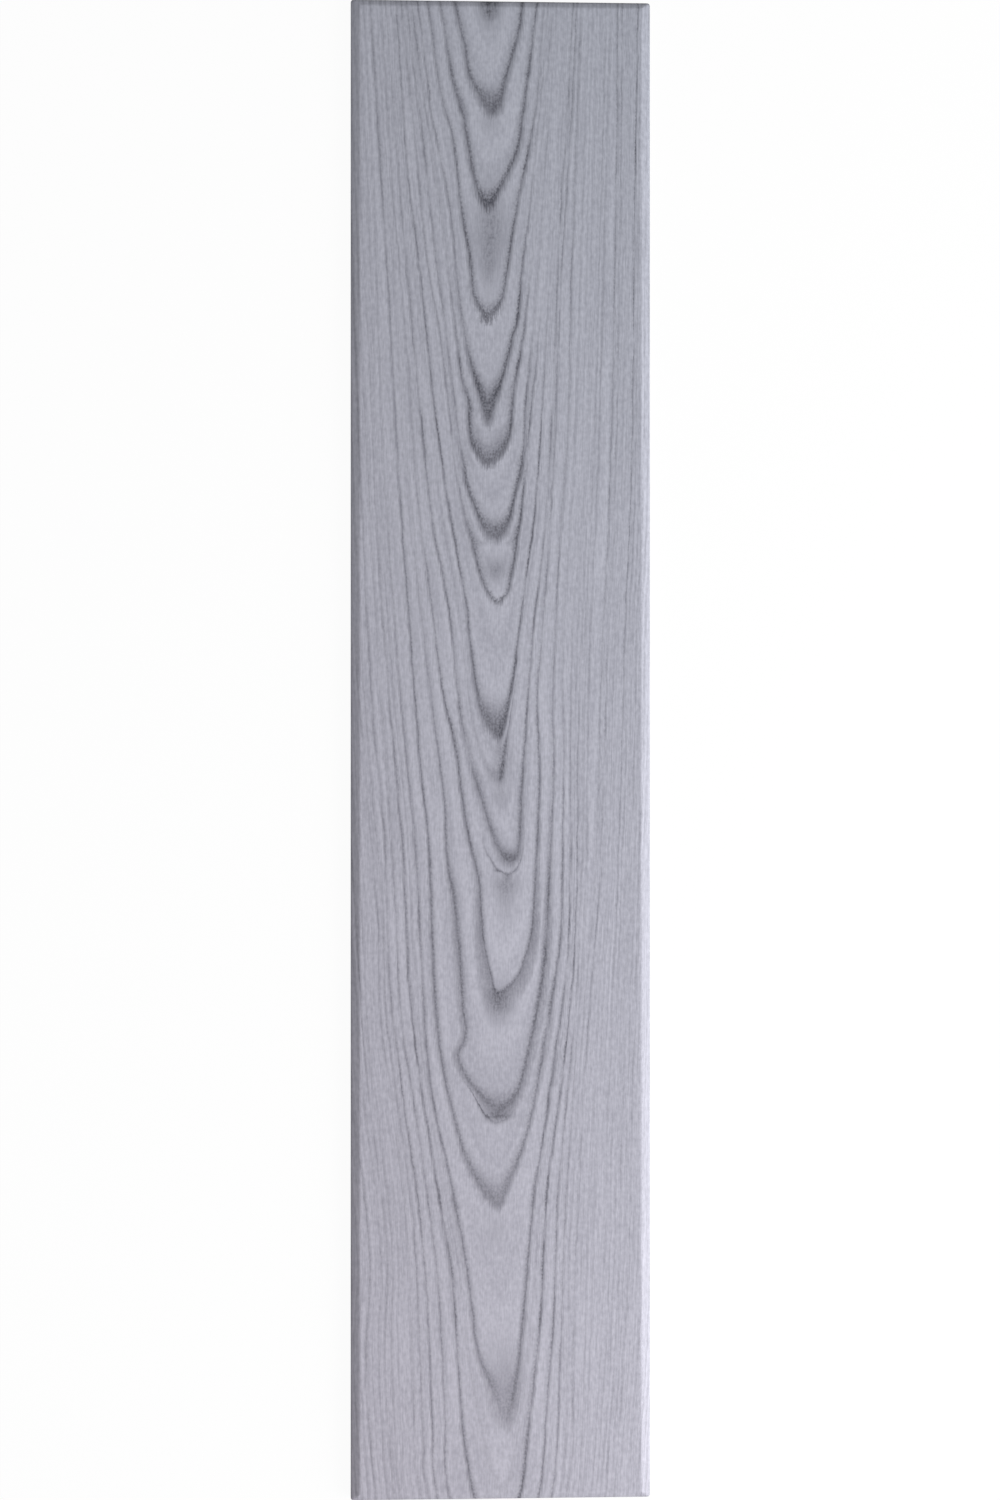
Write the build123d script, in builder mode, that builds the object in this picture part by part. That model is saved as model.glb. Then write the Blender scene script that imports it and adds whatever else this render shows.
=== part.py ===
"""A glue-up foam ceiling plank: one flat board of polystyrene foam whose face edges are pressed into bevels.

The plank lies on its back. X runs across it, Y runs along it and Z points out of its face.
The origin is the middle of the back, which is the side that is glued to the ceiling.
"""

import os

from build123d import *

# The board, in millimetres
plank_length = 1000.0
plank_width = 200.0
plank_thickness = 10.0
corner_radius = 2.0  # the four upright corners

# The bevel pressed into the edges of the face
side_bevel_width = 6.0  # along the two long edges
end_bevel_width = 4.5  # along the two ends
bevel_depth = 3.0  # how far it drops below the face, the same all round
crest_radius = 3.5  # where the face turns down into the bevel, and along the mitres

# What the bevel leaves of the upright edges and of the flat face
lip_height = plank_thickness - bevel_depth
face_width = plank_width - 2 * side_bevel_width
face_length = plank_length - 2 * end_bevel_width

with BuildPart() as plank:
    # The board up to the lip of the bevel, with upright edges
    with BuildSketch():
        Rectangle(plank_width, plank_length)
    extrude(amount=lip_height)

    # The bevel closes in from the lip to the face, and mitres at the corners
    with BuildSketch(Plane.XY.offset(lip_height)):
        Rectangle(plank_width, plank_length)
    with BuildSketch(Plane.XY.offset(plank_thickness)):
        Rectangle(face_width, face_length)
    loft(ruled=True)

    # Seen from the back up, the mitres and the crests are the last two layers of edges, and pressing rounds both
    *_, mitres, crests = plank.edges().group_by(Axis.Z)
    fillet(mitres + crests, crest_radius)
    corners = plank.edges().filter_by(Axis.Z)
    fillet(corners, corner_radius)

plank.part.label = "plank"
os.makedirs("parts", exist_ok=True)
export_step(plank.part, "parts/plank.step")
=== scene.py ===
"""A glue-up foam ceiling plank: the printed wood figure, the pressed grain and the raw foam edges."""

import math

import bpy
import numpy as np
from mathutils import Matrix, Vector, noise


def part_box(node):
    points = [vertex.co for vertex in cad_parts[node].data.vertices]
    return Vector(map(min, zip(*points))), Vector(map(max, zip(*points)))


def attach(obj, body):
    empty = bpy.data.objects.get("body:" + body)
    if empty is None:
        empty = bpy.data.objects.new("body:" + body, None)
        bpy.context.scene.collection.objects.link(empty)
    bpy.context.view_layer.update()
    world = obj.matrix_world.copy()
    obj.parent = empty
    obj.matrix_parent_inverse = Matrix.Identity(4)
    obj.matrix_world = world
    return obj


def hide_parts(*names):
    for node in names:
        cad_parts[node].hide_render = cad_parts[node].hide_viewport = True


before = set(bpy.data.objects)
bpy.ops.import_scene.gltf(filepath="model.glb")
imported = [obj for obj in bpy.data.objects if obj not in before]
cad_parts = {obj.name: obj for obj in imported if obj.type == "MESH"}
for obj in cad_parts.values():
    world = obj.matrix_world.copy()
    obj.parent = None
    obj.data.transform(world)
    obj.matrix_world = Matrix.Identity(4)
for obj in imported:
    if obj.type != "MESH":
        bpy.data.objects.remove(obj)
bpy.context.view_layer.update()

# The plank
# One board of extruded polystyrene foam, hot-pressed so that its face edges roll over into bevels.
# A thin film printed with the growth rings of flat-sawn spruce is laminated to the face and the bevels.

MM = 0.001
plank_low, plank_high = (Vector(corner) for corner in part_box("plank"))
plank_width, plank_length, plank_thickness = plank_high - plank_low
side_bevel_width = 6.0 * MM
end_bevel_width = 4.5 * MM
bevel_depth = 3.0 * MM
crest_radius = 3.5 * MM  # where the face turns down into the bevel
side_lip_radius = 1.6 * MM  # where the bevel turns down into the upright edge
end_lip_radius = 2.6 * MM
corner_radius = 2.0 * MM  # the four upright corners


def bevel_drop(inset, bevel_width, lip_radius):
    """How far the surface lies below the face at this distance in from the edge."""
    slope = math.atan2(bevel_depth, bevel_width)
    crest_reach = crest_radius * math.tan(slope / 2)
    lip_reach = lip_radius * math.tan((math.pi / 2 - slope) / 2)
    past_crest = np.clip(bevel_width + crest_reach - inset, 0, crest_radius * math.sin(slope))
    crest = crest_radius - np.sqrt(crest_radius**2 - past_crest**2)
    incline = (bevel_width - inset) * math.tan(slope)
    into_lip = np.clip(lip_radius - inset, 0, lip_radius)
    lip = bevel_depth + lip_reach - np.sqrt(lip_radius**2 - into_lip**2)
    drop = np.where(inset > bevel_width - crest_reach * math.cos(slope), crest, incline)
    return np.where(inset < lip_reach * math.cos(slope), lip, drop)


# Where the grid has lines over a bevel, as shares of its width, and how far apart they are on the flat face
rim_steps = np.array([0.0, 0.015, 0.05, 0.1, 0.17, 0.35, 0.6, 0.8, 0.88, 0.96, 1.04, 1.12, 1.2, 1.3])
column_pitch = 0.95 * MM
row_pitch = 2.6 * MM


def grid_lines(span, bevel_width, pitch):
    """Places from edge to edge, crowded over the two bevels and evenly spaced over the flat face."""
    rim = rim_steps * bevel_width
    flat = np.linspace(rim[-1], span - rim[-1], round((span - 2 * rim[-1]) / pitch) + 1)
    return np.concatenate([rim[:-1], flat, span - rim[-2::-1]]) - span / 2


columns = grid_lines(plank_width, side_bevel_width, column_pitch)
rows = grid_lines(plank_length, end_bevel_width, row_pitch)
grid_x, grid_y = np.meshgrid(columns, rows)

# The corner squares of the grid are drawn in to the round corners
tiny = 1e-12  # keeps a zero out of a division
past_x = np.clip((np.abs(grid_x) - plank_width / 2) / corner_radius + 1, 0, 1)
past_y = np.clip((np.abs(grid_y) - plank_length / 2) / corner_radius + 1, 0, 1)
reach = np.hypot(past_x, past_y)
drawn_share = np.maximum(past_x, past_y) / np.maximum(reach, tiny)
draw_in = np.where(reach > 0, drawn_share - 1, 0) * corner_radius
grid_x = grid_x + np.sign(grid_x) * past_x * draw_in
grid_y = grid_y + np.sign(grid_y) * past_y * draw_in
side_inset = plank_width / 2 - np.abs(grid_x)
end_inset = plank_length / 2 - np.abs(grid_y)
side_drop = bevel_drop(side_inset, side_bevel_width, side_lip_radius)
end_drop = bevel_drop(end_inset, end_bevel_width, end_lip_radius)

# Round each corner the lip follows the arc, and turns from the side's profile into the end's
into_side = np.clip(corner_radius - side_inset, 0, None)
into_end = np.clip(corner_radius - end_inset, 0, None)
arc_inset = corner_radius - np.hypot(into_side, into_end)
end_share = np.arctan2(into_end, into_side) / (math.pi / 2)
arc_drop = (1 - end_share) * bevel_drop(arc_inset, side_bevel_width, side_lip_radius)
arc_drop += end_share * bevel_drop(arc_inset, end_bevel_width, end_lip_radius)
arc_drop = np.where(np.minimum(into_side, into_end) > 0, arc_drop, 0)
grid_z = plank_thickness - np.maximum(np.maximum(side_drop, end_drop), arc_drop)

# The figure is drawn on squared paper, counted across from near the left edge and down from the head.
# Each growth ring is one line: down its left leg, round its tip and up its right leg. The two numbers with a
# fraction are short thin lines that run just outside a tip.
squares_across = 301.3  # over the width of the plank
squares_down = 1494.6  # over its length
first_across = -1.4  # the count at the left edge
first_down = 0.6  # and at the head
ring_lines = {
    0: [(129, -30), (131, 0), (138, 18), (147, 0), (150, -30)],
    1: [(101, -8), (106, 22), (112, 48), (117, 76), (128, 100), (138, 115), (148, 109), (154, 84),
        (160, 62), (168, 32), (173, -8)],
    2: [(86, -8), (95, 52), (100, 82), (109, 112), (117, 154), (121, 176), (126, 194), (136, 208),
        (147, 194), (164, 158), (171, 126), (178, 72), (188, -8)],
    3: [(73, -8), (85, 74), (92, 110), (101, 142), (108, 204), (116, 252), (121, 294), (127, 308),
        (135, 321), (149, 304), (154, 284), (162, 232), (168, 198), (179, 142), (187, 84), (195, -8)],
    4: [(63, -8), (74, 72), (79, 116), (90, 170), (99, 218), (104, 276), (112, 334), (120, 370),
        (126, 392), (136, 424), (146, 398), (153, 374), (160, 344), (167, 316), (171, 272), (180, 198),
        (188, 113), (199, -8)],
    5: [(57, -8), (68, 76), (79, 148), (91, 232), (103, 330), (110, 382), (116, 406), (118, 438),
        (125, 454), (136, 464), (150, 454), (159, 434), (163, 390), (172, 338), (182, 248), (191, 148),
        (203, -8)],
    6: [(52, -8), (70, 138), (82, 248), (93, 330), (104, 418), (114, 482), (122, 506), (132, 530),
        (144, 539), (155, 529), (164, 496), (173, 448), (176, 392), (186, 292), (195, 158), (207, -8)],
    7: [(47, -8), (62, 138), (73, 248), (87, 334), (97, 414), (105, 482), (114, 522), (121, 548),
        (129, 577), (139, 596), (146, 601), (152, 597), (158, 589), (160, 575), (165, 550), (172, 498),
        (180, 412), (191, 298), (211, -8)],
    8: [(42, -8), (56, 184), (65, 250), (79, 382), (92, 480), (103, 546), (113, 598), (119, 652),
        (126, 700), (134, 723), (147, 737), (155, 720), (163, 674), (171, 608), (184, 512), (192, 398),
        (200, 258), (215, -8)],
    9: [(37, -8), (60, 250), (73, 382), (86, 494), (105, 600), (117, 700), (124, 740), (134, 768),
        (148, 779), (154, 752), (158, 718), (167, 666), (174, 604), (188, 508), (197, 372), (218, -8)],
    10: [(32, -8), (47, 188), (55, 278), (68, 414), (80, 522), (92, 584), (100, 638), (107, 706),
         (116, 752), (132, 808), (145, 846), (158, 860), (168, 848), (171, 788), (177, 698), (183, 622),
         (193, 538), (202, 398), (210, 208), (217, 112), (223, -8)],
    10.15: [(134, 822), (131, 834), (132, 844), (138, 856), (146, 868), (156, 872), (164, 868), (169, 858),
            (172, 846), (173, 830)],
    11: [(27, -8), (40, 188), (55, 358), (65, 498), (77, 588), (90, 688), (103, 746), (113, 818),
         (122, 858), (127, 884), (131, 934), (139, 975), (146, 991), (164, 978), (172, 962), (182, 922),
         (187, 830), (189, 764), (186, 698), (191, 638), (202, 478), (209, 298), (222, 98), (227, -8)],
    12: [(22, -8), (33, 158), (45, 328), (55, 478), (67, 598), (82, 722), (92, 802), (94, 856),
         (101, 896), (107, 958), (110, 1006), (113, 1026), (110, 1039), (105, 1049), (108, 1065),
         (122, 1087), (133, 1101), (146, 1109), (160, 1102), (170, 1081), (183, 1026), (194, 960),
         (199, 878), (203, 760), (202, 696), (208, 558), (217, 428), (221, 268), (232, -8)],
    12.15: [(104, 1064), (109, 1074), (118, 1085), (126, 1099), (134, 1112), (145, 1119), (156, 1115),
            (163, 1106), (168, 1094)],
    13: [(17, -8), (24, 108), (35, 278), (47, 488), (58, 638), (67, 754), (76, 844), (80, 958),
         (84, 1018), (91, 1070), (100, 1108), (113, 1154), (131, 1190), (147, 1203), (157, 1184),
         (174, 1138), (186, 1088), (200, 1008), (210, 934), (212, 850), (213, 744), (212, 648),
         (222, 478), (229, 298), (238, -8)],
    14: [(10, -8), (22, 238), (31, 458), (45, 658), (55, 768), (64, 858), (69, 970), (77, 1076),
         (93, 1156), (108, 1228), (117, 1284), (125, 1346), (137, 1380), (154, 1419), (164, 1388),
         (172, 1322), (182, 1203), (191, 1144), (208, 1028), (217, 958), (220, 858), (220, 718),
         (222, 620), (231, 458), (243, -8)],
    16: [(0, -8), (13, 278), (25, 538), (36, 688), (50, 848), (57, 988), (71, 1098), (88, 1202),
         (99, 1266), (107, 1380), (111, 1430), (122, 1494), (148, 1560), (169, 1494), (178, 1424),
         (190, 1310), (195, 1202), (207, 1108), (220, 998), (226, 888), (228, 718), (238, 458),
         (245, 258), (252, -8)],
    17: [(-5, -8), (7, 298), (23, 618), (35, 778), (43, 908), (49, 1018), (61, 1098), (76, 1202),
         (86, 1286), (92, 1400), (98, 1500), (148, 1660), (187, 1500), (196, 1404), (203, 1310),
         (207, 1202), (217, 1088), (226, 990), (232, 838), (234, 658), (243, 458), (256, -8)],
    18: [(-10, -8), (7, 458), (19, 698), (32, 838), (37, 978), (51, 1098), (66, 1202), (75, 1302),
         (80, 1420), (86, 1500), (148, 1760), (200, 1500), (209, 1368), (215, 1202), (225, 1058),
         (235, 898), (239, 658), (248, 458), (261, -8)],
    19: [(-15, -8), (4, 558), (17, 758), (29, 898), (33, 1008), (45, 1098), (59, 1202), (66, 1310),
         (71, 1438), (77, 1500), (148, 1860), (209, 1500), (216, 1358), (221, 1202), (233, 1018),
         (245, 868), (251, 668), (259, 498), (265, 248), (268, -8)],
    25: [(-50, -8), (-20, 600), (6, 1040), (28, 1240), (36, 1500), (148, 2500), (240, 1500), (258, 1100),
         (270, 800), (274, 640), (281, 480), (285, 160), (288, -8)],
}
edge_pitch_left = 6.0  # squares from ring to ring, past the last drawn line
edge_pitch_right = 4.5
edge_run = 90  # squares past the last drawn line, well over either edge
least_gap = 0.01  # squares between two lines that touch
tip_margin = 0.5  # squares above its tip where a leg ends


def smooth_line(points, steps=16):
    """A Catmull-Rom curve through the points of a drawn line."""
    drawn = np.array(points, float)
    drawn = np.vstack([2 * drawn[0] - drawn[1], drawn, 2 * drawn[-1] - drawn[-2]])
    t = np.linspace(0, 1, steps, endpoint=False)[:, None]
    runs = []
    for a, b, c, d in zip(drawn, drawn[1:], drawn[2:], drawn[3:]):
        bend = (2 * a - 5 * b + 4 * c - d) + t * (3 * (b - c) + d - a)
        runs.append(b + 0.5 * t * ((c - a) + t * bend))
    runs.append(drawn[-2:-1])
    return np.vstack(runs)


def rising_curve(x, knots, values):
    """A cubic through the knots that never overshoots them, read at x."""
    gap = np.diff(knots)
    rise = np.diff(values) / gap
    steady = rise[:-1] * rise[1:] > 0
    near, far = 2 * gap[1:] + gap[:-1], gap[1:] + 2 * gap[:-1]
    safe = np.where(np.abs(rise) > tiny, rise, tiny)
    slopes = np.zeros_like(values)
    slopes[1:-1] = np.where(steady, (near + far) / (near / safe[:-1] + far / safe[1:]), 0)
    slopes[0], slopes[-1] = rise[0], rise[-1]
    i = np.clip(np.searchsorted(knots, x) - 1, 0, len(gap) - 1)
    t = (x - knots[i]) / gap[i]
    ends = (1 + 2 * t) * (1 - t) ** 2 * values[i] + t * t * (3 - 2 * t) * values[i + 1]
    return ends + t * (1 - t) * gap[i] * ((1 - t) * slopes[i] - t * slopes[i + 1])


LEFT, RIGHT = -1, 1
ring_legs = {}
for number, points in ring_lines.items():
    line = smooth_line(points)
    tip = line[:, 1].argmax()
    ring_legs[number] = {LEFT: line[: tip + 1], RIGHT: line[tip:][::-1]}
ring_numbers = list(ring_legs)
tip_across, tip_down = np.array([legs[LEFT][-1] for legs in ring_legs.values()]).T


def rings_along_row(across, down):
    """The ring number at each place across one row: whole on a ring, and least on the axis of the figure."""
    axis = np.interp(down, tip_down, tip_across), np.interp(down, tip_down, ring_numbers)
    halves = {}
    for side, pitch in ((LEFT, edge_pitch_left), (RIGHT, edge_pitch_right)):
        knots = [axis]
        for number, legs in ring_legs.items():
            leg = legs[side]
            if leg[0, 1] <= down < leg[-1, 1] - tip_margin:
                place = np.interp(down, leg[:, 1], leg[:, 0])
                clear = knots[-1][0] + side * least_gap
                knots.append((max(place * side, clear * side) * side, number))
        last_place, last_number = knots[-1]
        halves[side] = knots + [(last_place + side * edge_run, last_number + edge_run / pitch)]
    places, numbers = np.array(halves[LEFT][::-1] + halves[RIGHT][1:]).T
    return rising_curve(across, places, numbers)


figure_across = (grid_x / plank_width + 0.5) * squares_across + first_across
figure_down = (0.5 - grid_y / plank_length) * squares_down + first_down

# No line of real grain is smooth: each one wavers by about a square, in long kinks and short ones
kink_height = 0.6  # squares
kink_sizes = {0: (18, 24), 5: (7, 10)}  # squares across and down, for each layer of noise
kinks = np.array([
    sum(kink_height * noise.noise((u / wide, v / long, layer)) for layer, (wide, long) in kink_sizes.items())
    for u, v in zip(figure_across.flat, figure_down.flat)
]).reshape(grid_x.shape)
growth_ring = np.array([rings_along_row(u, v.mean()) for u, v in zip(figure_across + kinks, figure_down)])

# The distance from ring to ring, taken from the rings without their kinks
least_ring_gap = 2 * MM
most_ring_gap = 150 * MM
even_ring = np.array([rings_along_row(u, v.mean()) for u, v in zip(figure_across, figure_down)])
rise_along, rise_across = np.gradient(even_ring, rows, columns)
ring_gap = 1 / np.clip(np.hypot(rise_along, rise_across), 1 / most_ring_gap, 1 / least_ring_gap)

# How darkly each leg is printed, where 1 is the darkest: by its tip, by the head, and how many squares above
# the tip it turns from the one to the other. Rings that aren't listed are pale and uneven.
leg_inks = {
    LEFT: {
        0: (0.3, 0.3, 50), 1: (0.75, 0.75, 60), 2: (0.8, 0.58, 150), 3: (0.85, 0.55, 170),
        4: (0.92, 0.48, 70), 5: (0.88, 0.4, 110), 6: (0.85, 0.45, 80), 7: (0.75, 0.38, 70),
        8: (0.75, 0.45, 470), 9: (0.15, 0.12, 60), 10: (0.68, 0.28, 560), 11: (0.78, 0.25, 400),
        12: (0.72, 0.13, 440), 13: (0.68, 0.42, 640), 14: (0.64, 0.17, 770), 15: (0.2, 0.15, 800),
        16: (0.7, 0.17, 880), 17: (0.5, 0.2, 800), 18: (0.55, 0.3, 950), 19: (0.4, 0.25, 900),
    },
    RIGHT: {
        0: (0.3, 0.3, 50), 1: (0.82, 0.85, 60), 2: (0.84, 0.8, 180), 3: (0.8, 0.1, 250),
        4: (0.92, 0.3, 170), 5: (0.86, 0.22, 150), 6: (0.92, 0.2, 170), 7: (0.8, 0.05, 230),
        8: (0.85, 0.1, 350), 9: (0.45, 0.1, 90), 10: (0.75, 0.5, 280), 11: (0.75, 0.45, 280),
        12: (0.8, 0.45, 330), 13: (0.66, 0.12, 430), 14: (0.7, 0.1, 680), 15: (0.2, 0.15, 800),
        16: (0.78, 0.12, 800), 17: (0.66, 0.25, 620), 18: (0.54, 0.25, 560), 19: (0.22, 0.5, 1180),
        25: (0.18, 0.7, 1750),
    },
}
palest_ink, darkest_pale_ink = 0.08, 0.42
pale_seed = 7
inner_share = 0.6  # of the way to the next ring in, where the ink is this ring's own
turn_start, turn_span = 0.6, 0.8  # shares of those squares, over which the leg turns
nearest_ring = np.floor(growth_ring + inner_share).astype(int)
to_tip = np.clip(np.interp(nearest_ring, ring_numbers, tip_down) - figure_down, 0, None)
leg_ink = {}
for side, listed in leg_inks.items():
    draws = np.random.default_rng(pale_seed + side)
    pale = draws.uniform(palest_ink, darkest_pale_ink, nearest_ring.max() + 1)
    inks = np.column_stack([pale, pale, np.ones_like(pale)])
    inks[list(listed)] = list(listed.values())
    by_tip, by_head, turn = np.moveaxis(inks[nearest_ring], -1, 0)
    turned = np.clip((to_tip / turn - turn_start) / turn_span, 0, 1)
    leg_ink[side] = by_tip + (by_head - by_tip) * turned**2 * (3 - 2 * turned)
axis_across = np.interp(figure_down, tip_down, tip_across)


def blots(spots):
    """Soft patches on the squared paper: where each lies across and down, its half sizes and its weight."""
    total = np.zeros_like(grid_x)
    for across, down, half_width, half_length, weight in spots:
        total += weight * np.exp(
            -(((figure_across - across) / half_width) ** 2) - ((figure_down - down) / half_length) ** 2
        )
    return total


def brush_rise(across, along):
    """How much the ring number rises over a brush of this width and length that lies along the fibres."""
    return np.hypot(across * np.hypot(rise_along, rise_across), along * rise_along)


# A ring shades off inwards in a tail and outwards in a bleed, and fibres comb its edges. Ink runs along
# the fibres, so each of these is a brush that lies along them: it draws a hairline on a ring's steep legs
# and fills a cup at its tip.
tail_width, tail_length = 2.8 * MM, 12 * MM
bleed_width, bleed_length = 1.3 * MM, 3 * MM
comb_width, comb_length = 1.8 * MM, 9 * MM
longest_tail = 0.9  # of the way to the next ring in
tip_broadening = 0.8  # how much broader a leg is by its tip
tip_reach = 130  # squares up from the tip

# What sets the tips apart: a few have deep cups, and two hardly any, of which one is smeared outwards
# instead. Some legs are broader strokes, and some tips are more ragged or cleaner than the rest.
ring_ink = np.where(figure_across < axis_across, leg_ink[LEFT], leg_ink[RIGHT])
ring_ink *= 1 - blots([(150, 1408, 24, 36, 0.45)])
cup_depth = tail_length * (1 + blots([
    (138, 103, 18, 16, 3.4), (136, 198, 14, 14, 1.0), (135, 312, 14, 14, 0.7), (136, 405, 20, 28, 4.4),
    (137, 455, 24, 16, 2.2), (144, 530, 26, 18, 2.0), (146, 592, 20, 18, -0.8), (145, 716, 26, 32, 3.3),
    (157, 852, 16, 12, 0.5), (150, 960, 32, 70, -0.9), (145, 1098, 34, 18, 1.0), (147, 1190, 36, 32, 2.0),
    (152, 1400, 26, 50, 2.0),
]))
smear = 1 + blots([
    (150, 965, 32, 70, 5.0), (146, 1107, 22, 10, 2.5), (104, 1240, 12, 60, 1.0), (150, 1405, 20, 30, 2.0),
])
stroke = 1 + tip_broadening * np.exp(-((to_tip / tip_reach) ** 2)) + blots([
    (138, 60, 50, 110, 0.4), (146, 592, 22, 36, -0.4), (102, 930, 14, 110, 1.6), (82, 990, 10, 110, 0.8),
    (150, 965, 34, 50, -0.5), (195, 950, 10, 120, 1.6), (182, 1050, 14, 40, 0.8), (172, 1320, 10, 90, 0.5),
])
ragged = 1 + blots([
    (136, 204, 20, 20, 0.8), (136, 318, 20, 20, 1.2), (138, 460, 26, 20, 0.5), (150, 868, 45, 36, -0.7),
    (150, 965, 40, 50, -0.5), (130, 1100, 40, 30, -0.6),
])
ring_tail = np.clip(brush_rise(tail_width * stroke, cup_depth), 0, longest_tail)
ring_bleed = brush_rise(bleed_width * stroke * smear, bleed_length * smear)
ring_comb = brush_rise(comb_width * ragged, comb_length * ragged)

# Smudges round the tips, which follow no ring, and the ink of the two thin lines outside a tip
smudge_and_lip_shade = blots([
    (138, 6, 10, 18, 1.1), (138, 124, 9, 9, 0.4), (139, 226, 14, 34, 0.8), (137, 268, 8, 24, 0.55),
    (144, 568, 12, 12, 0.7), (151, 752, 8, 20, 0.7), (146, 771, 10, 10, 0.55), (149, 792, 8, 12, 0.5),
    (156, 854, 10, 6, 0.5), (154, 882, 14, 9, 0.7), (154, 898, 10, 18, 0.4), (147, 1003, 13, 18, 0.7),
    (146, 1113, 14, 5, 0.9), (144, 1226, 11, 16, 0.3), (150, 1360, 13, 34, 0.3), (158, 1385, 9, 30, 0.35),
])
twin_ink = blots([(152, 862, 30, 26, 0.65), (130, 1102, 24, 24, 0.75)])

# Painted shade along the lips, where the film turns over them: darkest at the head, fainter at the left
# side, faintest at the foot
lip_shade_reach = 1.2 * MM
head_lip_shade, foot_lip_shade, left_lip_shade = 1.3, 0.25, 0.4
for inset, weight in (
    (plank_length / 2 - grid_y, head_lip_shade),
    (plank_length / 2 + grid_y, foot_lip_shade),
    (plank_width / 2 + grid_x, left_lip_shade),
):
    smudge_and_lip_shade = smudge_and_lip_shade + weight * np.exp(-((inset / lip_shade_reach) ** 2))

# The mesh: the grid is the printed face, and its rim goes straight down to the back in two steps
board = bpy.data.meshes.new("printed_plank")
row_count, column_count = grid_x.shape
corner_of = np.arange(grid_x.size).reshape(grid_x.shape)
quads = np.stack(
    [corner_of[:-1, :-1], corner_of[:-1, 1:], corner_of[1:, 1:], corner_of[1:, :-1]], -1
).reshape(-1, 4)
rim_loop = np.concatenate([corner_of[0, :-1], corner_of[:-1, -1], corner_of[-1, :0:-1], corner_of[:0:-1, 0]])
face_points = np.stack([grid_x, grid_y, grid_z], -1).reshape(-1, 3)
levels = [face_points]
faces = quads.tolist()
upper = rim_loop
for height_share in (0.5, 0.0):
    lower = np.arange(len(rim_loop)) + sum(len(level) for level in levels)
    level = face_points[rim_loop].copy()
    level[:, 2] *= height_share
    levels.append(level)
    faces += np.stack([upper, lower, np.roll(lower, -1), np.roll(upper, -1)], -1).tolist()
    upper = lower

# The back is a ladder of narrow strips from side to side, with one wide face at each end
foot = upper[:column_count]
right_side = upper[column_count - 1 : column_count + row_count - 1]
head = upper[column_count + row_count - 2 : 2 * column_count + row_count - 2]
left_side = np.append(upper[2 * column_count + row_count - 3 :], upper[0])[::-1]
faces.append([left_side[1], right_side[1]] + foot[::-1].tolist())
faces += np.stack([left_side[1:-2], left_side[2:-1], right_side[2:-1], right_side[1:-2]], -1).tolist()
faces.append([right_side[-2], left_side[-2]] + head[::-1].tolist())
board.from_pydata(np.concatenate(levels), [], faces)

# One flat map of the whole board: the face, the upright edges folded out round it, and the back beside it
map_left, map_right, map_foot, map_head = 0.02, 0.80, 0.02, 0.98
back_left, back_right = 0.84, 0.98
fold_left, fold_right, fold_foot, fold_head = 0.0, 0.82, 0.0, 1.0
edge_levels = 0.003, 0.009, 0.015  # in from the fold: the back, halfway up and the lip
map_across = np.linspace(map_left, map_right, column_count)
map_along = np.linspace(map_foot, map_head, row_count)
face_u, face_v = np.meshgrid(map_across, map_along)
face_map = np.stack([face_u, face_v], -1).reshape(-1, 2)
unfolded = [face_map[quads].reshape(-1, 2)]
for upper_level, lower_level in ((edge_levels[2], edge_levels[1]), (edge_levels[1], edge_levels[0])):
    for line, towards_face in (
        (np.column_stack([map_across, np.full(column_count, fold_foot)]), (0, 1)),
        (np.column_stack([np.full(row_count, fold_right), map_along]), (-1, 0)),
        (np.column_stack([map_across[::-1], np.full(column_count, fold_head)]), (0, -1)),
        (np.column_stack([np.full(row_count, fold_left), map_along[::-1]]), (1, 0)),
    ):
        top = line + np.multiply(towards_face, upper_level)
        bottom = line + np.multiply(towards_face, lower_level)
        unfolded.append(np.stack([top[:-1], bottom[:-1], bottom[1:], top[1:]], 1).reshape(-1, 2))
left_map = np.column_stack([np.full(row_count, back_left), map_along])
right_map = np.column_stack([np.full(row_count, back_right), map_along])
end_across = np.linspace(back_right, back_left, column_count)
unfolded += [
    left_map[1:2], right_map[1:2],
    np.column_stack([end_across, np.full(column_count, map_foot)]),
    np.stack([left_map[1:-2], left_map[2:-1], right_map[2:-1], right_map[1:-2]], 1).reshape(-1, 2),
    right_map[-2:-1], left_map[-2:-1],
    np.column_stack([end_across[::-1], np.full(column_count, map_head)]),
]
board.uv_layers.new(name="OFBake").uv.foreach_set("vector", np.concatenate(unfolded).ravel())


def give_attribute(mesh, name, kind, domain, values):
    """Stores one number for each point or face of the mesh."""
    layer = mesh.attributes.new(name, kind, domain)
    layer.data.foreach_set("value", values)


drawing = {
    "growth_ring": growth_ring, "ring_gap": ring_gap, "ring_tail": ring_tail, "ring_bleed": ring_bleed,
    "ring_comb": ring_comb, "ring_ink": ring_ink, "smudge_and_lip_shade": smudge_and_lip_shade, "twin_ink": twin_ink,
}
plain_points = np.zeros(len(board.vertices) - grid_x.size)
for name, values in drawing.items():
    give_attribute(board, name, "FLOAT", "POINT", np.append(values, plain_points))
give_attribute(board, "printed", "BOOLEAN", "FACE", np.arange(len(faces)) < len(quads))


def srgb(code):
    """A colour written as six hex digits, as linear red, green, blue and alpha."""
    shares = [int(code[i : i + 2], 16) / 255 for i in (0, 2, 4)]
    return [s / 12.92 if s <= 0.04045 else ((s + 0.055) / 1.055) ** 2.4 for s in shares] + [1.0]


def add_node(tree, kind, links=None, **settings):
    """Adds a node, sets its options, and gives each named input a value or another node's output."""
    made = tree.nodes.new(kind)
    for name, value in settings.items():
        setattr(made, name, value)
    for name, value in (links or {}).items():
        if isinstance(value, bpy.types.NodeSocket):
            tree.links.new(value, made.inputs[name])
        else:
            made.inputs[name].default_value = value
    return made


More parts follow.
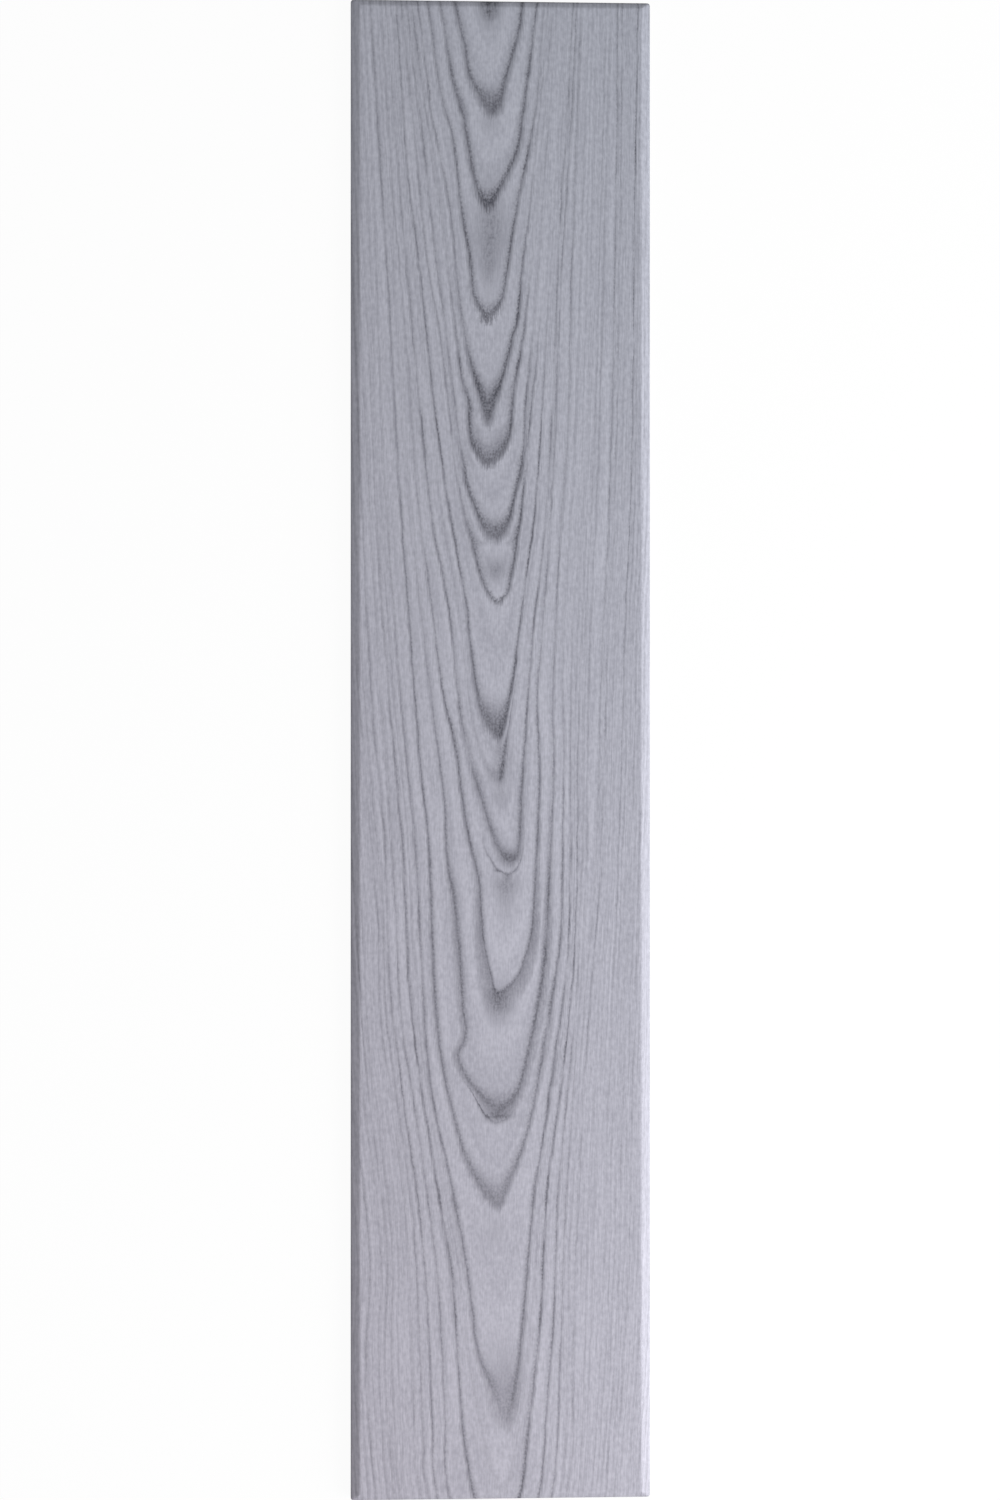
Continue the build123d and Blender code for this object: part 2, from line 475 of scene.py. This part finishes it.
# Satin PVC film, gravure-printed in greys with spruce rings and laminated to the foam: lilac-grey earlywood,
# charcoal latewood with combed edges, and a faint sheen
film = bpy.data.materials.new("printed PVC film on foam")
film.use_nodes = True
tree = film.node_tree
tree.nodes.clear()
place = add_node(tree, "ShaderNodeTexCoord").outputs["Object"]
drawn = {
    name: add_node(tree, "ShaderNodeAttribute", attribute_name=name).outputs["Fac"] for name in drawing
}
along = add_node(tree, "ShaderNodeSeparateXYZ", {"Vector": place}).outputs["Y"]
ring_place = add_node(
    tree, "ShaderNodeCombineXYZ", {"X": drawn["growth_ring"], "Y": along}
).outputs["Vector"]

# Each noise has a size across and along the fibres, and a detail. Two of them follow the rings, and are
# measured across in shares of a ring.
noises = {}
for name, where, across, long, detail in (
    ("fibre", place, 0.9 * MM, 8 * MM, 3.0),
    ("mottle", place, 2.4 * MM, 3.4 * MM, 2.0),
    ("speck", place, 1.4 * MM, 1.8 * MM, 1.0),
    ("streak", ring_place, 0.4, 90 * MM, 3.0),
    ("fade", ring_place, 0.73, 32 * MM, 3.0),
):
    scaled = add_node(tree, "ShaderNodeMapping", {"Vector": where, "Scale": (1 / across, 1 / long, 0)})
    noises[name] = add_node(
        tree, "ShaderNodeTexNoise", {"Vector": scaled.outputs["Vector"], "Scale": 1.0, "Detail": detail},
        noise_dimensions="2D",
    ).outputs["Fac"]

# Fibres comb the rings' edges, by as much outwards as inwards
comb = add_node(
    tree, "ShaderNodeMix", {"Factor": 0.4, "A": noises["fibre"], "B": noises["speck"]}
).outputs["Result"]
comb = add_node(tree, "ShaderNodeMath", {0: comb, 1: 0.5}, operation="SUBTRACT").outputs[0]
combed = add_node(
    tree, "ShaderNodeMath", {0: comb, 1: drawn["ring_comb"], 2: drawn["growth_ring"]},
    operation="MULTIPLY_ADD",
).outputs[0]
within_ring = add_node(tree, "ShaderNodeMath", {0: combed}, operation="FRACT").outputs[0]

# A ring is darkest just inside its line. Its tail ends softly, and its bleed in a straight fall.
inward = add_node(tree, "ShaderNodeMath", {0: 1.0, 1: within_ring}, operation="SUBTRACT").outputs[0]
tail_share = add_node(
    tree, "ShaderNodeMath", {0: inward, 1: drawn["ring_tail"]}, operation="DIVIDE"
).outputs[0]
bleed_share = add_node(
    tree, "ShaderNodeMath", {0: within_ring, 1: drawn["ring_bleed"]}, operation="DIVIDE"
).outputs[0]
bands = {}
for name, share, stops in (
    ("latewood", tail_share, [
        (0.0, 0.7), (0.05, 0.92), (0.12, 1.0), (0.22, 0.85),
        (0.36, 0.52), (0.55, 0.24), (0.78, 0.07), (1.0, 0.0),
    ]),
    ("twin", within_ring, [
        (0.0, 0.0), (0.115, 0.0), (0.14, 0.8), (0.15, 1.0), (0.165, 0.45), (0.22, 0.0), (1.0, 0.0),
    ]),
):
    band = add_node(tree, "ShaderNodeValToRGB", {"Fac": share})
    for position, _ in stops[1:-1]:
        band.color_ramp.elements.new(position)
    for element, (position, level) in zip(band.color_ramp.elements, stops):
        element.position = position
        element.color = (level, level, level, 1)
    bands[name] = band.outputs["Color"]
bled = add_node(
    tree, "ShaderNodeMapRange",
    {"Value": bleed_share, "From Min": 0.0, "From Max": 1.0, "To Min": 0.7, "To Max": 0.0},
).outputs["Result"]
ring_band = add_node(tree, "ShaderNodeMath", {0: bands["latewood"], 1: bled}, operation="MAXIMUM").outputs[0]
lines = add_node(
    tree, "ShaderNodeMath", {0: ring_band, 1: drawn["ring_ink"]}, operation="MULTIPLY"
).outputs[0]

# Where rings crowd together the ink comes and goes, and everywhere it is speckled
come_and_go = add_node(
    tree, "ShaderNodeMapRange",
    {"Value": noises["fade"], "From Min": 0.35, "From Max": 0.62, "To Min": 0.3, "To Max": 1.15},
).outputs["Result"]
crowded = add_node(
    tree, "ShaderNodeMapRange",
    {"Value": drawn["ring_gap"], "From Min": 3 * MM, "From Max": 12 * MM, "To Min": 1.0, "To Max": 0.2},
).outputs["Result"]
faded = add_node(tree, "ShaderNodeMix", {"Factor": crowded, "A": 1.0, "B": come_and_go}).outputs["Result"]
lines = add_node(tree, "ShaderNodeMath", {0: lines, 1: faded}, operation="MULTIPLY").outputs[0]
lines = add_node(
    tree, "ShaderNodeMath", {0: bands["twin"], 1: drawn["twin_ink"], 2: lines}, operation="MULTIPLY_ADD"
).outputs[0]
# Ink smudges round the tips darken the print, and with them the painted shade along the lips
lines = add_node(
    tree, "ShaderNodeMath", {0: drawn["smudge_and_lip_shade"], 1: noises["mottle"], 2: lines}, operation="MULTIPLY_ADD"
).outputs[0]
speckle = add_node(
    tree, "ShaderNodeMapRange",
    {"Value": noises["speck"], "From Min": 0.3, "From Max": 0.7, "To Min": 0.78, "To Max": 1.15},
).outputs["Result"]
lines = add_node(
    tree, "ShaderNodeMath", {0: lines, 1: speckle}, operation="MULTIPLY", use_clamp=True
).outputs[0]

# Earlywood runs from a deeper to a paler grey, in threads along the fibres and in a fine mottle
threads = add_node(
    tree, "ShaderNodeMix", {"Factor": 0.5, "A": noises["fibre"], "B": noises["streak"]}
).outputs["Result"]
tone = add_node(
    tree, "ShaderNodeMix", {"Factor": 0.32, "A": threads, "B": noises["mottle"]}
).outputs["Result"]
tone_share = add_node(
    tree, "ShaderNodeMapRange", {"Value": tone, "From Min": 0.37, "From Max": 0.63}
).outputs["Result"]
earlywood = add_node(
    tree, "ShaderNodeMix", {"Factor": tone_share, "A": srgb("a1a1ad"), "B": srgb("b9b9c5")}, data_type="RGBA"
).outputs["Result"]
inked = add_node(
    tree, "ShaderNodeMix", {"Factor": lines, "A": earlywood, "B": srgb("4e4e58")}, data_type="RGBA"
).outputs["Result"]

# Painted tint of the light: the grey drifts along the plank from rosy at the foot to blue at the head, and a
# little from left to right
drift_across = 0.3  # as a share of the drift along
corner_share = add_node(
    tree, "ShaderNodeVectorMath", {0: place, 1: (drift_across / plank_width, 1 / plank_length, 0)},
    operation="DOT_PRODUCT",
).outputs["Value"]
light_tint_share = add_node(
    tree, "ShaderNodeMapRange", {"Value": corner_share, "From Min": -0.6, "From Max": 0.6}
).outputs["Result"]
light_tint = add_node(
    tree, "ShaderNodeMix", {"Factor": light_tint_share, "A": srgb("fffbfb"), "B": srgb("fbffff")}, data_type="RGBA"
).outputs["Result"]
print_with_light_tint = add_node(
    tree, "ShaderNodeMix", {"Factor": 1.0, "A": inked, "B": light_tint}, data_type="RGBA", blend_type="MULTIPLY"
).outputs["Result"]
sheen_break = add_node(
    tree, "ShaderNodeMapRange",
    {"Value": noises["mottle"], "From Min": 0.3, "From Max": 0.7, "To Min": 0.56, "To Max": 0.68},
).outputs["Result"]

# The film is embossed: latewood lies lower, and the fibres show in the sheen
grain_depth = 0.03 * MM
emboss = add_node(
    tree, "ShaderNodeMath", {0: lines, 1: -0.8, 2: noises["fibre"]}, operation="MULTIPLY_ADD"
).outputs[0]
embossed = add_node(
    tree, "ShaderNodeBump", {"Strength": 1.0, "Distance": grain_depth, "Height": emboss}
).outputs["Normal"]
film_shader = add_node(
    tree, "ShaderNodeBsdfPrincipled",
    {"Base Color": print_with_light_tint, "Roughness": sheen_break, "IOR": 1.45, "Normal": embossed},
)
add_node(tree, "ShaderNodeOutputMaterial", {"Surface": film_shader.outputs["BSDF"]})

# Extruded polystyrene, cut with a hot wire: matt off-white, with closed cells and faint drag lines from the
# wire. The real cells are about 0.2 mm across, too fine to show, so they are drawn at 0.9 mm.
cell_size = 0.9 * MM
drag_length, drag_height = 25 * MM, 0.8 * MM
pit_depth = 0.12 * MM
foam = bpy.data.materials.new("hot-wire cut polystyrene foam")
foam.use_nodes = True
tree = foam.node_tree
tree.nodes.clear()
place = add_node(tree, "ShaderNodeTexCoord").outputs["Object"]
cells = add_node(tree, "ShaderNodeTexVoronoi", {"Vector": place, "Scale": 1 / cell_size}).outputs["Distance"]
drawn_out = add_node(
    tree, "ShaderNodeMapping",
    {"Vector": place, "Scale": (1 / drag_length, 1 / drag_length, 1 / drag_height)},
).outputs["Vector"]
drag = add_node(
    tree, "ShaderNodeTexNoise", {"Vector": drawn_out, "Scale": 1.0, "Detail": 2.0}
).outputs["Fac"]
tone = add_node(tree, "ShaderNodeMix", {"Factor": 0.5, "A": cells, "B": drag}).outputs["Result"]
# Painted shade: the foam turns greyer where the bump sinks it, in the cells and along the drag lines
hollow_shade = add_node(
    tree, "ShaderNodeMapRange", {"Value": tone, "From Min": 0.3, "From Max": 0.7}
).outputs["Result"]
foam_colour = add_node(
    tree, "ShaderNodeMix", {"Factor": hollow_shade, "A": srgb("f0f0ee"), "B": srgb("d8d8d5")}, data_type="RGBA"
).outputs["Result"]
pitted = add_node(
    tree, "ShaderNodeBump", {"Strength": 0.7, "Distance": pit_depth, "Height": tone}, invert=True
).outputs["Normal"]
foam_shader = add_node(
    tree, "ShaderNodeBsdfPrincipled",
    {"Base Color": foam_colour, "Roughness": 0.88, "IOR": 1.5, "Normal": pitted},
)
add_node(tree, "ShaderNodeOutputMaterial", {"Surface": foam_shader.outputs["BSDF"]})

# The roll that embosses the film also presses the rings a little into the foam, at full depth where they
# stand well apart. Then the face gets its film, and the edges and the back stay raw foam.
press_sizes = {"Groove Depth": grain_depth, "Crowded Gap": 4 * MM, "Open Gap": 10 * MM}
press = bpy.data.node_groups.new("press_grain", "GeometryNodeTree")
press.interface.new_socket("Geometry", in_out="INPUT", socket_type="NodeSocketGeometry")
press_inputs = {
    name: press.interface.new_socket(name, in_out="INPUT", socket_type="NodeSocketFloat").identifier
    for name in press_sizes
}
press.interface.new_socket("Geometry", in_out="OUTPUT", socket_type="NodeSocketGeometry")
entry = add_node(press, "NodeGroupInput")
ring_number = add_node(press, "GeometryNodeInputNamedAttribute", {"Name": "growth_ring"}, data_type="FLOAT")
ring_share = add_node(press, "ShaderNodeMath", {0: ring_number.outputs["Attribute"]}, operation="FRACT")
groove = add_node(
    press, "ShaderNodeMapRange",
    {"Value": ring_share.outputs[0], "From Min": 0.7, "From Max": 1.0, "To Min": 0.0, "To Max": -1.0},
    interpolation_type="SMOOTHSTEP",
)
sunk = add_node(
    press, "ShaderNodeMath", {0: groove.outputs["Result"], 1: entry.outputs["Groove Depth"]},
    operation="MULTIPLY",
)
ring_spacing = add_node(press, "GeometryNodeInputNamedAttribute", {"Name": "ring_gap"}, data_type="FLOAT")
open_share = add_node(
    press, "ShaderNodeMapRange",
    {
        "Value": ring_spacing.outputs["Attribute"],
        "From Min": entry.outputs["Crowded Gap"], "From Max": entry.outputs["Open Gap"],
    },
)
eased = add_node(
    press, "ShaderNodeMath", {0: sunk.outputs[0], 1: open_share.outputs["Result"]}, operation="MULTIPLY"
)
offset = add_node(press, "ShaderNodeCombineXYZ", {"Z": eased.outputs[0]})
printed = add_node(press, "GeometryNodeInputNamedAttribute", {"Name": "printed"}, data_type="BOOLEAN")
pressed = add_node(
    press, "GeometryNodeSetPosition",
    {
        "Geometry": entry.outputs["Geometry"],
        "Selection": printed.outputs["Attribute"], "Offset": offset.outputs[0],
    },
)
whole = add_node(press, "GeometryNodeRealizeInstances", {"Geometry": pressed.outputs[0]})
cut = add_node(press, "GeometryNodeSetMaterial", {"Geometry": whole.outputs[0], "Material": foam})
dressed = add_node(
    press, "GeometryNodeSetMaterial",
    {"Geometry": cut.outputs[0], "Selection": printed.outputs["Attribute"], "Material": film},
)
add_node(press, "NodeGroupOutput", {"Geometry": dressed.outputs[0]})

plank = bpy.data.objects.new("printed_plank", board)
bpy.context.scene.collection.objects.link(plank)
pressing = plank.modifiers.new("press_grain", "NODES")
pressing.node_group = press
for name, size in press_sizes.items():
    pressing[press_inputs[name]] = size
evaluated_plank = plank.evaluated_get(bpy.context.evaluated_depsgraph_get())
pressed_mesh = bpy.data.meshes.new_from_object(evaluated_plank)
plank.modifiers.clear()
plank.data = pressed_mesh
pressed_mesh.shade_smooth()
sharpest_smooth_turn = math.radians(40)
pressed_mesh.set_sharp_from_angle(angle=sharpest_smooth_turn)
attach(plank, "root")
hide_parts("plank")

# The studio
# A white sheet under the plank, a large soft box that stands at its right and foot, and an even surround.
# Nothing here is part of the plank.

floor_mesh = bpy.data.meshes.new("floor")
floor_half = 4.0
floor_level = -0.2 * MM  # just clear of the back
floor_corners = [
    (x * floor_half, y * floor_half, floor_level) for x, y in ((-1, -1), (1, -1), (1, 1), (-1, 1))
]
floor_mesh.from_pydata(floor_corners, [], [(0, 1, 2, 3)])
floor = bpy.data.objects.new("floor", floor_mesh)
bpy.context.scene.collection.objects.link(floor)

# Matt paper: the camera sees it as almost plain white that keeps a faint shadow. To the plank it is a dark
# grey sheet, which throws little light back at the bevels.
sheet_white = 0.94
paper = bpy.data.materials.new("white paper sheet")
paper.use_nodes = True
tree = paper.node_tree
tree.nodes.clear()
ray = add_node(tree, "ShaderNodeLightPath").outputs
mirrored = add_node(
    tree, "ShaderNodeMath", {0: ray["Is Glossy Ray"], 1: ray["Is Transmission Ray"]}, operation="MAXIMUM"
)
seen = add_node(
    tree, "ShaderNodeMath", {0: ray["Is Camera Ray"], 1: mirrored.outputs[0]}, operation="MAXIMUM"
)
sheet_colour = add_node(
    tree, "ShaderNodeMix", {"Factor": seen.outputs[0], "A": srgb("5a5a5a"), "B": srgb("f4f4f4")},
    data_type="RGBA",
)
sheet = add_node(tree, "ShaderNodeBsdfDiffuse", {"Color": sheet_colour.outputs["Result"]})
white = add_node(tree, "ShaderNodeEmission", {"Strength": 1.0})
whiten = add_node(tree, "ShaderNodeMath", {0: seen.outputs[0], 1: sheet_white}, operation="MULTIPLY")
lit = add_node(
    tree, "ShaderNodeMixShader", {"Fac": whiten.outputs[0], 1: sheet.outputs[0], 2: white.outputs[0]}
)
add_node(tree, "ShaderNodeOutputMaterial", {"Surface": lit.outputs[0]})
floor_mesh.materials.append(paper)

lamp_data = bpy.data.lights.new("soft_lamp", "AREA")
lamp_data.shape = "RECTANGLE"
lamp_data.size = 1.78
lamp_data.size_y = 0.93
lamp_data.energy = 29
lamp = bpy.data.objects.new("soft_lamp", lamp_data)
lamp.location = (1.1, -0.5, 0.48)
lamp.rotation_euler = (-lamp.location).to_track_quat("-Z", "Y").to_euler()
bpy.context.scene.collection.objects.link(lamp)

world = bpy.data.worlds.new("even_surround")
world.use_nodes = True
world.node_tree.nodes["Background"].inputs["Color"].default_value = (1, 1, 1, 1)
world.node_tree.nodes["Background"].inputs["Strength"].default_value = 0.53
bpy.context.scene.world = world

# The camera looks straight down on the face, from a little to the left of its middle
camera_data = bpy.data.cameras.new("camera")
camera_distance = 1.6
camera_lean = math.radians(2.3)
frame_height = 0.9995  # metres of the face from the foot of the picture to its top
aim_across = -0.6 * MM
camera_data.sensor_fit = "VERTICAL"
camera_data.sensor_height = 36
camera_data.lens = camera_data.sensor_height * camera_distance / frame_height
camera = bpy.data.objects.new("camera", camera_data)
aim = Vector((aim_across, 0, plank_thickness))
camera.location = aim + Vector((-math.sin(camera_lean), 0, math.cos(camera_lean))) * camera_distance
camera.rotation_euler = (0, -camera_lean, 0)
bpy.context.scene.collection.objects.link(camera)
bpy.context.scene.camera = camera
bpy.context.scene.view_settings.view_transform = "Standard"
